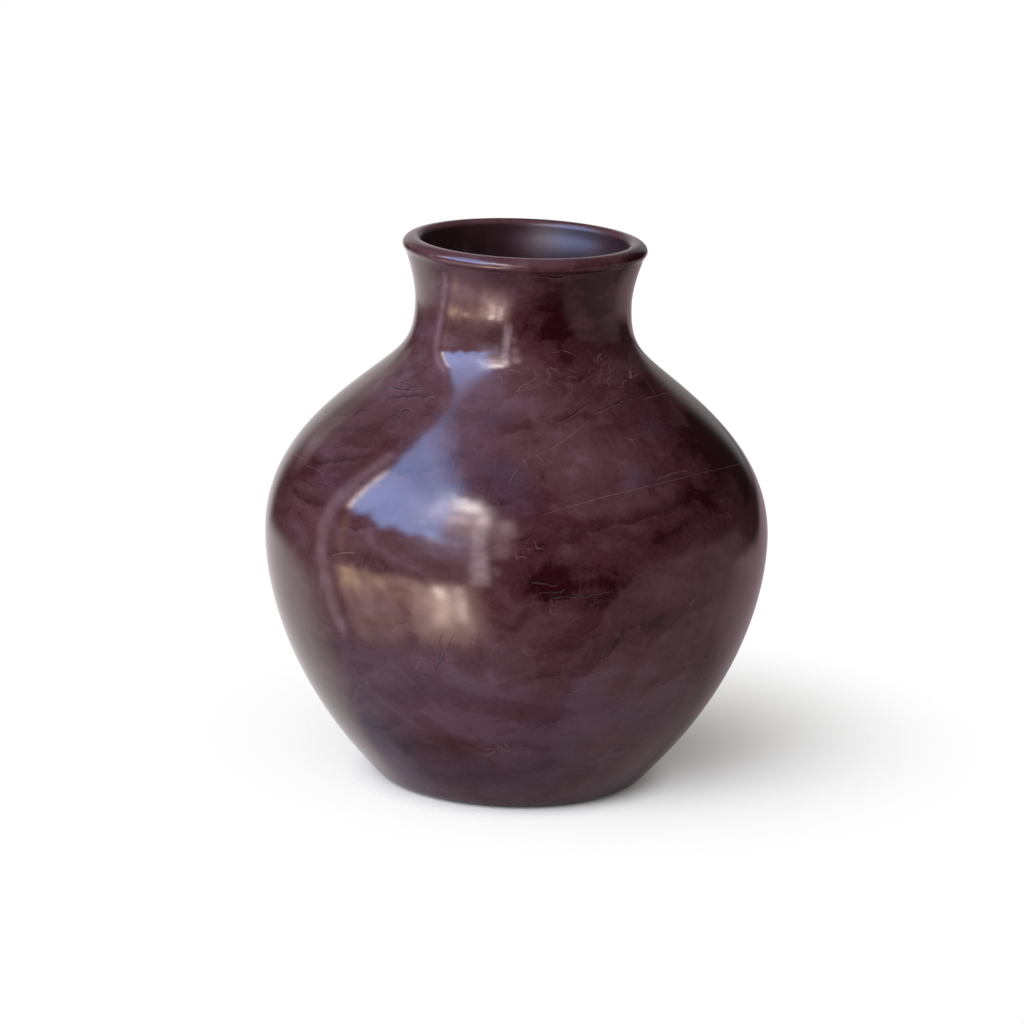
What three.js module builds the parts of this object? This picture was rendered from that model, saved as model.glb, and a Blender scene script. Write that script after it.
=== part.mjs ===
// Globe vase turned and carved from one block of stone, with a felt disc under its foot.
// Millimetres, +Z up. The origin is on the vase's axis, on the surface that the vase stands on.

import * as THREE from 'three';

// Driving dimensions. A station is a point that the wall runs through, at a height above the stone's flat foot.
// heading is the way the wall runs there, in degrees from straight up, positive outwards.
// before and after are the lengths of the curve's handles on either side of the station.

// Outside of the wall, from the foot up.
const foot = { radius: 53.6, height: 0, heading: 44, after: 57 };
const belly = { radius: 100, height: 98.5, heading: 0, before: 20, after: 28 };
const shoulder = { radius: 64, height: 157.5, heading: -50.5, before: 21, after: 20.5 };
const neck = { radius: 42.6, height: 191, heading: 0, before: 18, after: 4 };
const arris = { radius: 46.7, height: 210.2, heading: 19, before: 9.5, after: 1.2 };
const footEdge = 1.6; // softened corner between the flat foot and the wall

// Rolled lip, from its outside over the crown to the mouth.
const lipSide = { radius: 48.1, height: 213, heading: 0, before: 1.2, after: 1.8 };
const lipCrown = { radius: 43.3, height: 216.3, heading: -90, before: 2.8, after: 1.4 };
const mouth = { radius: 40.5, height: 213.6, heading: -171, before: 1.3, after: 6 };

// Thickness of the stone, square to the outside.
const wall = { neck: 6.2, shoulder: 8.5, belly: 9 };

// Bottom of the hollow: its heel, where the wall turns in, and the middle of its floor.
const hollowHeel = { radius: 55, height: 23.5, heading: -136, before: 30, after: 15 };
const hollowFloor = { radius: 0, height: 12, heading: -90, before: 34 };

// The mouth was levelled by eye and dips a little towards +X, in degrees.
const mouthDip = 0.57;

// Felt disc and the layer of glue above it.
const felt = { radius: 47, thickness: 1.2 };
const glueGap = 0.3;

// Fineness of the facets.
const facetsAround = 64;
const facetLength = 9.5;
const fewestSteps = 3;

const stone = new THREE.MeshStandardMaterial({ color: 0x4b3239, roughness: 0.12, metalness: 0 });
const darkFelt = new THREE.MeshStandardMaterial({ color: 0x1f1b1c, roughness: 0.95, metalness: 0 });

// Unit vector of a heading, as radius and height.
function direction(heading) {
  const angle = THREE.MathUtils.degToRad(heading);
  return new THREE.Vector2(Math.sin(angle), Math.cos(angle));
}

// Point at a signed distance from a station along its heading.
function along(station, distance) {
  const step = direction(station.heading).multiplyScalar(distance);
  return step.add(new THREE.Vector2(station.radius, station.height));
}

// Station of the hollow: an outside station moved into the stone by the wall's thickness and met on the way down.
function hollowStation(outside, thickness) {
  const inwards = direction(outside.heading - 90).multiplyScalar(thickness);
  return {
    radius: outside.radius + inwards.x,
    height: outside.height + inwards.y,
    heading: outside.heading - 180,
    before: outside.after,
    after: outside.before,
  };
}

// Continues a path through a list of stations, from the station where the path stands now.
function runThrough(path, stations) {
  for (let i = 1; i < stations.length; i += 1) {
    const from = stations[i - 1];
    const to = stations[i];
    const leave = along(from, from.after);
    const arrive = along(to, -to.before);
    path.bezierCurveTo(leave.x, leave.y, arrive.x, arrive.y, to.radius, to.height);
  }
}

// Points along a path, a facet's length apart, with at least a few on each curve.
function facetPoints(path) {
  const points = [path.curves[0].getPoint(0)];
  for (const curve of path.curves) {
    const steps = curve.isLineCurve ? 1 : Math.max(fewestSteps, Math.ceil(curve.getLength() / facetLength));
    points.push(...curve.getPoints(steps).slice(1));
  }
  return points;
}

// Section of the vase: out along the foot, up the outside, over the lip and down the hollow to the axis.
function vaseSection() {
  const path = new THREE.Path();
  const wallStart = along(foot, footEdge);
  path.moveTo(0, 0);
  path.lineTo(foot.radius - footEdge, 0);
  path.quadraticCurveTo(foot.radius, 0, wallStart.x, wallStart.y);

  const lowestOutside = { ...foot, radius: wallStart.x, height: wallStart.y, after: foot.after - footEdge };
  const hollowNeck = hollowStation(neck, wall.neck);
  const hollowShoulder = hollowStation(shoulder, wall.shoulder);
  const hollowBelly = hollowStation(belly, wall.belly);
  hollowNeck.before = neck.before;
  runThrough(path, [lowestOutside, belly, shoulder, neck, arris, lipSide, lipCrown, mouth]);
  runThrough(path, [mouth, hollowNeck, hollowShoulder, hollowBelly, hollowHeel, hollowFloor]);
  return path;
}

// Tips the mouth: heights shift with x, not at all below the neck's waist and in full at the lip.
function tipMouth(geometry) {
  const position = geometry.getAttribute('position');
  const slope = Math.tan(THREE.MathUtils.degToRad(mouthDip));
  for (let i = 0; i < position.count; i += 1) {
    const share = THREE.MathUtils.smoothstep(position.getZ(i), neck.height, lipSide.height);
    position.setZ(i, position.getZ(i) - share * slope * position.getX(i));
  }
}

// Solid of revolution about +Z from a section of radius and height.
function turned(points) {
  return new THREE.LatheGeometry(points, facetsAround).rotateX(Math.PI / 2);
}

function makeVaseBody() {
  const geometry = turned(facetPoints(vaseSection()));
  tipMouth(geometry);
  const mesh = new THREE.Mesh(geometry, stone);
  mesh.name = 'vase_body';
  mesh.position.z = felt.thickness + glueGap;
  return mesh;
}

function makeBaseFelt() {
  const section = new THREE.Path();
  section.moveTo(0, 0);
  section.lineTo(felt.radius, 0);
  section.lineTo(felt.radius, felt.thickness);
  section.lineTo(0, felt.thickness);
  const mesh = new THREE.Mesh(turned(facetPoints(section)), darkFelt);
  mesh.name = 'base_felt';
  return mesh;
}

const globeVase = new THREE.Group();
globeVase.add(makeVaseBody(), makeBaseFelt());

export default globeVase;
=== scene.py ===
"""Globe vase of polished stone with a felt disc under its foot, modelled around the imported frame."""

import math
from collections import namedtuple
from functools import reduce

import bmesh
import bpy
import numpy as np
from mathutils import Matrix, Vector, noise
from mathutils.geometry import interpolate_bezier


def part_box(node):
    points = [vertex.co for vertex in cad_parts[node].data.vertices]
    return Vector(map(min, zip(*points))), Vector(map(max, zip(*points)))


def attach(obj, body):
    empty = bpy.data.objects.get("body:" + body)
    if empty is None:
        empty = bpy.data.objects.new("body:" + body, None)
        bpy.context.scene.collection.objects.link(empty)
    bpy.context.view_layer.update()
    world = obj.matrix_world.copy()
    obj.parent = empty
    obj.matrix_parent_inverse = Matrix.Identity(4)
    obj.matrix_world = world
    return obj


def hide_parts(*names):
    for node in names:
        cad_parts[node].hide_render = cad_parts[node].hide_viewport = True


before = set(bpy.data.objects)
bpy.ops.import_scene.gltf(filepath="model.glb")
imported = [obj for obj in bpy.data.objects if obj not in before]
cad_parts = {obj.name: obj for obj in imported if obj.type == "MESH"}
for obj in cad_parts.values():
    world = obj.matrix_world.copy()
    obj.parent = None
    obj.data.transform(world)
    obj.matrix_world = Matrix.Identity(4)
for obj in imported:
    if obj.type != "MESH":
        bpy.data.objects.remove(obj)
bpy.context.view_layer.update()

bl_info = {
    "name": "Globe Vase",
    "version": (1, 0, 0),
    "blender": (4, 5, 0),
    "location": "View3D > Sidebar > Globe Vase",
    "description": "Builds a polished stone globe vase with a felt foot, and a plain stage for it",
    "category": "Add Mesh",
}

MM = 0.001
STONE_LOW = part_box("vase_body")[0]
FELT_LOW, FELT_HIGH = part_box("base_felt")

# The wall's section, in millimetres above the stone's flat foot. A station is a point that the wall runs
# through, with the way it runs there in degrees from straight up and the lengths of the curve's handles on
# either side.
Station = namedtuple("Station", "radius height heading before after")
FOOT = Station(53.6, 0, 44, 0, 57)
BELLY = Station(100, 98.5, 0, 20, 28)
SHOULDER = Station(64, 157.5, -50.5, 21, 20.5)
NECK = Station(42.6, 191, 0, 18, 4)
ARRIS = Station(46.7, 210.2, 19, 9.5, 1.2)
LIP_SIDE = Station(48.1, 213, 0, 1.2, 1.8)
LIP_CROWN = Station(43.3, 216.3, -90, 2.8, 1.4)
MOUTH = Station(40.5, 213.6, -171, 1.3, 6)
HOLLOW_HEEL = Station(55, 23.5, -136, 30, 15)
HOLLOW_FLOOR = Station(0, 12, -90, 34, 0)
FOOT_EDGE = 1.6
NECK_WALL = 6.2
SHOULDER_WALL = 8.5
BELLY_WALL = 9

# Hand finish: how far the mouth dips, and the height in millimetres above which the wall is uneven in full.
MOUTH_DIP = math.radians(0.57)
UNEVEN_FROM = FOOT.radius / 3

# Rows of faces along the section, in millimetres from row to row, and the fewest points on one curve of it.
OUTSIDE_ROW = 1.5
LIP_ROW = 0.5
HOLLOW_ROW = 3.2
FLAT_ROW = 12
FEWEST_POINTS = 4
MERGE_DISTANCE = 0.001 * MM

# Felt: faces round it, the share of its thickness that its rounded edges take, and the faces across them.
FELT_STEPS = 160
FELT_EDGE = 0.3
FELT_EDGE_STEPS = 3
SHARP_EDGE = math.radians(60)

# Floor: faces round it, its depth under the felt in metres, and how far from the axis it is kept for the
# contact shadow, in radii of the felt.
FLOOR_STEPS = 128
FLOOR_GAP = 0.0002
CONTACT_REACH = 1.45

# Marks in the stone, as degrees round from the front and millimetres above the foot. Each has the half width
# of its line in millimetres. A sheet of marks shares one attribute, so marks on one sheet keep clear of each
# other. A sheet's reach is how far from its lines it is drawn, in millimetres.
Mark = namedtuple("Mark", "half_width points")
MARK_REACH = 7.0
BAND_REACH = 24.0
MARK_STEP = 0.4
FEWEST_MARK_STEPS = 3
OPEN_FRACTURES = [
    Mark(0.34, [(11.1, 156.4), (16.0, 157.9), (21.4, 160.4), (26.3, 162.1), (29.8, 162.2)]),
    Mark(0.17, [(24.5, 83.1), (21.3, 74.4), (18.7, 64.4), (15.6, 58.1), (9.8, 57.6)]),
    Mark(0.20, [(-8.5, 30.8), (-2.9, 30.9), (5.6, 31.3), (11.7, 32.6), (13.9, 33.5)]),
    Mark(0.20, [(-15.5, 81.6), (-16.5, 78.1), (-16.4, 73.1), (-17.6, 66.1)]),
    Mark(0.60, [(-59.3, 160.1), (-57.2, 161.6), (-51.9, 162.0), (-45.4, 162.9), (-39.7, 164.0)]),
    Mark(0.28, [(7.6, 96.9), (10.4, 98.0), (12.4, 97.5), (16.4, 98.1), (20.1, 98.9), (22.4, 99.0)]),
    Mark(0.42, [(5.0, 210.6), (9.0, 209.9), (13.1, 209.6), (20.4, 210.1), (23.0, 210.6)]),
    Mark(0.34, [(3.2, 103.4), (6.0, 103.0), (9.6, 101.8)]),
    Mark(0.30, [(112.0, 128.0), (121.0, 134.0), (128.0, 135.0), (139.0, 141.0)]),
    Mark(0.26, [(176.0, 88.0), (184.0, 80.0), (187.0, 69.0), (196.0, 61.0)]),
    Mark(0.50, [(228.0, 150.0), (238.0, 153.0), (246.0, 151.0), (255.0, 156.0)]),
    Mark(0.22, [(92.0, 62.0), (99.0, 58.0), (108.0, 57.0)]),
]
BRANCH_FRACTURES = [
    Mark(0.34, [(27.5, 159.2), (32.9, 160.4), (38.1, 161.2), (44.6, 162.1), (50.6, 161.0)]),
    Mark(0.18, [(-13.0, 82.1), (-14.7, 75.1), (-16.3, 69.8), (-17.6, 66.1), (-18.3, 62.5)]),
    Mark(0.42, [(-39.9, 156.3), (-43.2, 156.8), (-43.1, 154.1), (-43.1, 152.8)]),
    Mark(0.34, [(-39.4, 152.4), (-37.1, 152.2), (-34.4, 150.6)]),
    Mark(0.40, [(-56.9, 163.5), (-51.9, 164.4), (-50.6, 166.2)]),
    Mark(0.24, [(128.0, 135.0), (131.0, 127.0), (138.0, 121.0)]),
    Mark(0.22, [(187.0, 69.0), (180.0, 62.0), (176.0, 53.0)]),
    Mark(0.36, [(241.0, 153.0), (243.0, 159.0), (249.0, 163.0)]),
]
HEALED_VEINS = [
    Mark(0.15, [(1.2, 125.1), (11.6, 129.8), (24.7, 133.5), (38.6, 135.3), (48.4, 135.7), (58.6, 135.4),
                (75.1, 133.0), (86.5, 130.0)]),
    Mark(0.16, [(9.5, 154.6), (8.1, 151.6), (4.6, 147.8), (0.9, 144.0), (-1.7, 139.4), (-2.7, 134.8)]),
    Mark(0.16, [(50.6, 161.0), (58.4, 160.9), (67.6, 160.5), (75.1, 159.8)]),
    Mark(0.20, [(-73.0, 132.8), (-71.8, 136.3), (-71.0, 139.3)]),
    Mark(0.18, [(44.0, 215.2), (48.5, 212.2)]),
    Mark(0.20, [(-45.4, 103.5), (-40.9, 106.2), (-37.2, 107.3)]),
    Mark(0.16, [(104.0, 96.0), (122.0, 101.0), (141.0, 103.0), (160.0, 99.0)]),
    Mark(0.16, [(205.0, 128.0), (219.0, 123.0), (236.0, 121.0), (251.0, 124.0)]),
    Mark(0.16, [(266.0, 74.0), (281.0, 68.0), (293.0, 66.0)]),
]
BRANCH_VEINS = [
    Mark(0.24, [(37.9, 136.6), (43.6, 137.6), (48.6, 137.7), (50.2, 135.9)]),
    Mark(0.22, [(25.5, 157.8), (20.0, 155.0), (14.1, 151.5), (9.0, 148.5), (5.4, 146.0)]),
    Mark(0.22, [(-76.6, 131.1), (-70.3, 131.8)]),
    Mark(0.18, [(-67.1, 130.6), (-61.0, 131.2), (-55.8, 130.6)]),
    Mark(0.18, [(141.0, 103.0), (146.0, 94.0), (155.0, 88.0)]),
]
# Each dark band is drawn along its sharp lower edge, from left to right, and fades upwards.
DARK_BANDS = [
    Mark(3.6, [(-1.0, 115.4), (4.3, 116.1), (9.7, 117.4), (14.4, 119.2), (17.1, 122.0), (25.3, 122.3),
               (34.7, 124.8), (40.6, 126.1), (43.7, 128.2), (49.4, 127.4), (58.0, 125.9), (66.0, 124.0)]),
    Mark(2.6, [(-71.7, 140.5), (-65.1, 143.5), (-56.4, 146.5), (-50.2, 147.7), (-42.0, 148.6)]),
    Mark(2.2, [(-68.5, 130.2), (-58.9, 133.4), (-53.7, 135.8), (-47.2, 137.9), (-40.0, 140.5)]),
    Mark(2.4, [(-70.8, 120.6), (-60.2, 119.5), (-53.6, 119.8), (-48.0, 122.5)]),
    Mark(1.4, [(-60.0, 158.6), (-51.0, 158.7), (-46.1, 160.0), (-36.9, 161.3), (-32.0, 163.4)]),
    Mark(1.6, [(8.4, 75.0), (12.9, 76.0), (17.0, 77.5)]),
    Mark(3.8, [(118.0, 116.0), (140.0, 121.0), (166.0, 118.0)]),
    Mark(3.8, [(200.0, 104.0), (222.0, 98.0), (248.0, 101.0)]),
    Mark(2.8, [(262.0, 142.0), (274.0, 146.0), (286.0, 147.0)]),
]
SMEARS = [
    Mark(0.9, [(-33.0, 72.0), (-29.6, 66.4), (-20.5, 51.3), (-11.0, 36.9), (-4.4, 26.8)]),
    Mark(1.1, [(-15.3, 64.8), (-11.1, 62.1), (-7.5, 61.2), (-2.8, 62.2), (1.7, 65.1), (8.0, 68.0)]),
    Mark(0.8, [(-44.0, 62.0), (-34.0, 47.0), (-24.0, 36.0)]),
    Mark(0.9, [(-62.0, 88.0), (-52.0, 76.0), (-44.0, 70.0)]),
    Mark(0.8, [(40.0, 48.0), (52.0, 52.0), (64.0, 60.0)]),
    Mark(0.9, [(150.0, 62.0), (162.0, 47.0), (176.0, 36.0)]),
    Mark(0.9, [(210.0, 74.0), (224.0, 66.0), (240.0, 52.0)]),
    Mark(0.8, [(98.0, 84.0), (112.0, 76.0), (124.0, 73.0)]),
]
MARK_SHEETS = (
    ("open_fractures", OPEN_FRACTURES, MARK_REACH),
    ("branch_fractures", BRANCH_FRACTURES, MARK_REACH),
    ("healed_veins", HEALED_VEINS, MARK_REACH),
    ("branch_veins", BRANCH_VEINS, MARK_REACH),
    ("dark_bands", DARK_BANDS, BAND_REACH),
    ("smears", SMEARS, MARK_REACH),
)

# Soft patches in the stone: middle in degrees round and millimetres up, half sizes in the same units, and
# amount.
Patch = namedtuple("Patch", "angle height half_angle half_height amount")
TONE_PATCHES = [
    Patch(58, 138, 15, 8, -0.20), Patch(78, 134, 12, 10, -0.22), Patch(52, 128, 10, 5, -0.12),
    Patch(69, 119, 10, 8, -0.10), Patch(1, 109, 7, 7, -0.12), Patch(9, 100, 11, 9, -0.11),
    Patch(20, 106, 10, 7, -0.04), Patch(16, 95, 9, 6, -0.08), Patch(9, 76, 5, 3, -0.05),
    Patch(61, 182, 13, 9, -0.16), Patch(48, 190, 14, 10, -0.14), Patch(20, 209, 40, 4, -0.12),
    Patch(-50, 147, 15, 6, -0.10), Patch(-63, 131, 8, 6, -0.10), Patch(-40, 141, 8, 5, -0.06),
    # Patch(50, 66) lightens the lower right as a painted reflection of the pale veil that lies over it.
    Patch(14, 190, 22, 14, -0.15), Patch(50, 66, 20, 15, 0.13), Patch(25, 147, 16, 8, 0.12),
    Patch(-8, 160, 14, 11, 0.13), Patch(-20, 168, 14, 9, 0.12), Patch(25, 129.5, 14, 4, 0.09),
    Patch(-25, 62, 22, 18, 0.03), Patch(-58, 96, 18, 20, 0.08), Patch(-50, 190, 24, 14, 0.17),
    Patch(-3, 62, 14, 9, 0.09), Patch(20, 50, 20, 12, 0.08), Patch(-45, 158, 16, 12, 0.06),
    Patch(120, 110, 18, 7, -0.10), Patch(150, 141, 15, 6, -0.12), Patch(170, 80, 20, 12, 0.10),
    Patch(198, 122, 15, 7, -0.12), Patch(215, 60, 18, 9, -0.08), Patch(235, 150, 14, 6, -0.10),
    Patch(250, 95, 18, 10, 0.10), Patch(282, 126, 13, 5, -0.08), Patch(100, 152, 14, 7, 0.11),
    Patch(130, 60, 16, 9, -0.08), Patch(180, 185, 20, 8, -0.10), Patch(250, 185, 16, 8, 0.09),
    Patch(108, 184, 12, 8, 0.08), Patch(62, 212.5, 14, 4, -0.25), Patch(14, 34, 26, 20, 0.10),
    Patch(60, 149, 17, 10, -0.15), Patch(80, 146, 13, 13, -0.14), Patch(6, 170, 16, 9, 0.12),
    Patch(31, 111, 20, 14, -0.12), Patch(20, 124, 22, 9, -0.07), Patch(36, 193, 18, 14, -0.09),
    Patch(36, 182, 22, 8, -0.08), Patch(15, 203, 16, 8, -0.09), Patch(14, 30, 18, 9, 0.06),
    Patch(-18, 31, 12, 7, -0.07), Patch(66, 148, 16, 12, -0.10),
]
VIOLET_PATCHES = [
    Patch(48, 152, 9, 4, 0.6), Patch(35, 138, 7, 3.5, 0.5), Patch(-7, 158, 7, 3.5, 0.7),
    Patch(-5.5, 140, 6, 8, 0.8), Patch(0, 131, 6, 6, 0.5), Patch(-5, 17, 18, 9, 0.9),
    Patch(-18, 58, 16, 10, 0.5), Patch(-50, 130, 14, 10, 0.4), Patch(-40, 80, 20, 20, 0.2),
    Patch(60, 65, 25, 20, 0.3), Patch(20, 40, 30, 15, 0.4), Patch(110, 130, 12, 6, 0.6),
    Patch(160, 60, 20, 12, 0.5), Patch(205, 150, 12, 6, 0.6), Patch(240, 40, 25, 15, 0.6),
    Patch(290, 100, 14, 10, 0.4), Patch(180, 110, 14, 6, 0.5),
]
SCUFF_PATCHES = [
    Patch(50, 169, 26, 9, 0.30), Patch(-6, 30, 12, 6, 0.30), Patch(-24, 58, 18, 14, 0.10),
    Patch(4, 148, 10, 8, 0.20), Patch(-40, 150, 14, 10, 0.16), Patch(4, 84, 9, 8, 0.16),
    Patch(4, 112, 5, 6, 0.26), Patch(140, 160, 30, 10, 0.24), Patch(220, 80, 20, 16, 0.20),
    Patch(4, 172, 20, 8, 0.22), Patch(170, 34, 20, 10, 0.24), Patch(275, 165, 20, 9, 0.20),
    Patch(110, 70, 14, 10, 0.18),
]
# How far inside a place counts as, from 0 on the outside over the lip to 1 in the hollow, at millimetres
# along the section from the lip's crown.
LIP_PLACES = (-8, -3, 1.5, 4)
LIP_SHARES = (0, 0.36, 0.44, 1)

# The stone's grain and wear, in metres: which way is up through its beds, the height of a bed, the depth of
# its bumps, the cells to the metre in each layer of scuffs, the half width of a scuff's stroke, and the
# depth of the felt's bumps.
BEDDING = Vector((-0.347, 0.25, 1.0)).normalized()
BED_HEIGHT = 0.017
STONE_BUMP = 0.00014
SCUFF_CELLS = (47.0, 70.0, 103.0, 151.0)
SCUFF_WIDTH = 0.00025
FELT_BUMP = 0.0004

# What the polish mirrors: a tall softbox on the viewer's left, in panes between bars. Each has its span in
# degrees round from the viewer and above level, the softness and raggedness of its edges in degrees, and its
# brightness.
Pane = namedtuple("Pane", "span level soft ragged light")
PANES = [
    Pane((-101.8, -94.8), (-34, 48), 2.0, 2, (1.5, 1.15, 1.35)),
    Pane((-101, -96.0), (45, 66), 2.4, 2, (0.6, 0.5, 0.62)),
    Pane((-90.4, -87.4), (22, 46), 0.9, 1, (11.0, 8.2, 6.2)),
    Pane((-90, -15), (-37, -10), 3.4, 13, (1.65, 1.15, 0.9)),
    Pane((-90, -44), (-21, -11), 3.5, 12, (1.7, 1.25, 0.85)),
    Pane((-50, -20), (-34, -13), 4.0, 12, (1.5, 1.15, 0.95)),
    Pane((-88, -20), (-12, 16), 4.0, 10, (0.15, 0.22, 0.22)),
    Pane((-46, -22), (9, 21), 5.0, 12, (0.9, 1.05, 1.4)),
    Pane((-88, -84), (-3, 21), 2.0, 5, (0.9, 0.6, 0.2)),
    Pane((-86, -78), (-20, -11), 2.4, 7, (2.2, 1.35, 0.55)),
    Pane((-80, -77), (-19, -17), 1.8, 6, (5.5, 4.0, 2.9)),
    Pane((-68, -63), (-18, -14), 2.2, 7, (4.4, 3.3, 2.3)),
    Pane((-42, -30), (-30, -15), 3.6, 12, (5.6, 4.5, 3.6)),
    Pane((-37.5, -32), (-20, -13), 1.7, 5, (12.0, 10.4, 8.8)),
    Pane((-29, -24.2), (-30, -13), 1.8, 6, (7.2, 6.0, 5.4)),
    Pane((-50, -22), (-39, -25), 4.0, 10, (1.3, 0.95, 0.75)),
    Pane((-34, -15), (45, 52), 2.4, 8, (12.0, 10.8, 10.2)),
    Pane((-46, -10), (36, 53), 5.0, 14, (4.4, 3.9, 4.0)),
    Pane((-36, -12), (28, 46), 4.0, 11, (3.6, 3.0, 3.1)),
    Pane((-44, -19), (19, 27), 2.2, 9, (2.0, 2.2, 3.0)),
    Pane((-53, -40), (30, 42), 3.5, 8, (1.6, 1.2, 0.5)),
    Pane((-19.5, -12.1), (-10, 44), 1.6, 3, (4.6, 3.8, 4.2)),
    Pane((-6.2, 2.0), (29, 41), 2.2, 8, (3.4, 2.7, 2.9)),
    Pane((-8.6, -2.4), (12, 34), 2.6, 6, (2.0, 1.4, 1.55)),
    Pane((-8.8, -7.0), (-2, 5), 1.0, 2, (2.2, 1.8, 2.0)),
]
# The large blue pane behind them is less cloudy than they are. It fades out to the right, above the cross
# bar over BLUE_FADE and below it over BLUE_END, in degrees round. Two pale cards stand behind on the left,
# the first for the lip, with a dim light left between the cards. Soft light is cool from the left and warm
# from the right.
BLUE_PANE = Pane((-88.5, 0), (22, 90), 2.8, 9, (3.15, 5.0, 9.7))
BLUE_CLOUDS = 0.12
BLUE_FADE = (-16.0, -35.0)
BLUE_END = (-31.0, -43.0)
LIP_CARD = Pane((-152, -138), (10, 24), 4.0, 2, 0.5)
LEFT_CARD = Pane((-142, -106), (20, 70), 5.0, 4, 0.2)
CARD_COLOUR = (1.0, 0.95, 0.96)
DIM_LIGHT = 0.02
COOL_TINT = (0.86, 0.93, 1.22)
WARM_TINT = (1.05, 0.75, 0.80)
WHITE = (1.0, 1.0, 1.0)

# The bars of the softbox lean: by a share of their level, and by a degree to each degree above the cross bar.
CROSS_BAR = 47.0
BAR_LEAN = 0.08


class VaseSizes(bpy.types.PropertyGroup):
    """Sizes of the stone body and the felt."""

    steps_round: bpy.props.IntProperty(
        name="Steps Round", description="Faces round the turned body", default=256, min=48)
    unevenness: bpy.props.FloatProperty(
        name="Unevenness", description="How far the hand finish leaves the wall from true",
        default=0.00006, subtype="DISTANCE", unit="LENGTH")
    unevenness_span: bpy.props.FloatProperty(
        name="Unevenness Span", description="Distance from one low place to the next",
        default=0.045, subtype="DISTANCE", unit="LENGTH")
    felt_radius: bpy.props.FloatProperty(
        name="Felt Radius", description="Radius of the felt disc",
        default=(FELT_HIGH.x - FELT_LOW.x) / 2, subtype="DISTANCE", unit="LENGTH")
    felt_thickness: bpy.props.FloatProperty(
        name="Felt Thickness", description="Thickness of the felt disc",
        default=FELT_HIGH.z - FELT_LOW.z, subtype="DISTANCE", unit="LENGTH")


class StoneFinish(bpy.types.PropertyGroup):
    """Colours and polish of the stone, and the colour of the felt."""

    deep: bpy.props.FloatVectorProperty(
        name="Deep Wine", description="Darkest bands", default=(0.019, 0.0010, 0.0024), subtype="COLOR")
    wine: bpy.props.FloatVectorProperty(
        name="Wine", description="Dark red places", default=(0.049, 0.0125, 0.0160), subtype="COLOR")
    brown: bpy.props.FloatVectorProperty(
        name="Red Brown", description="Middle tone of the stone",
        default=(0.076, 0.0282, 0.0345), subtype="COLOR")
    mauve: bpy.props.FloatVectorProperty(
        name="Mauve", description="Paler cloudy bands", default=(0.108, 0.053, 0.070), subtype="COLOR")
    violet: bpy.props.FloatVectorProperty(
        name="Violet", description="Blue-violet clouds", default=(0.052, 0.026, 0.046), subtype="COLOR")
    vein: bpy.props.FloatVectorProperty(
        name="Pale Vein", description="Healed cracks, specks and scuffs",
        default=(0.27, 0.19, 0.19), subtype="COLOR")
    felt: bpy.props.FloatVectorProperty(
        name="Felt", description="Felt fibres", default=(0.014, 0.012, 0.013), subtype="COLOR")
    polish: bpy.props.FloatProperty(
        name="Polish", description="Roughness of the best polished places",
        default=0.12, min=0, max=1, subtype="FACTOR")
    wear: bpy.props.FloatProperty(
        name="Wear", description="Roughness of the dullest places",
        default=0.24, min=0, max=1, subtype="FACTOR")


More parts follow.
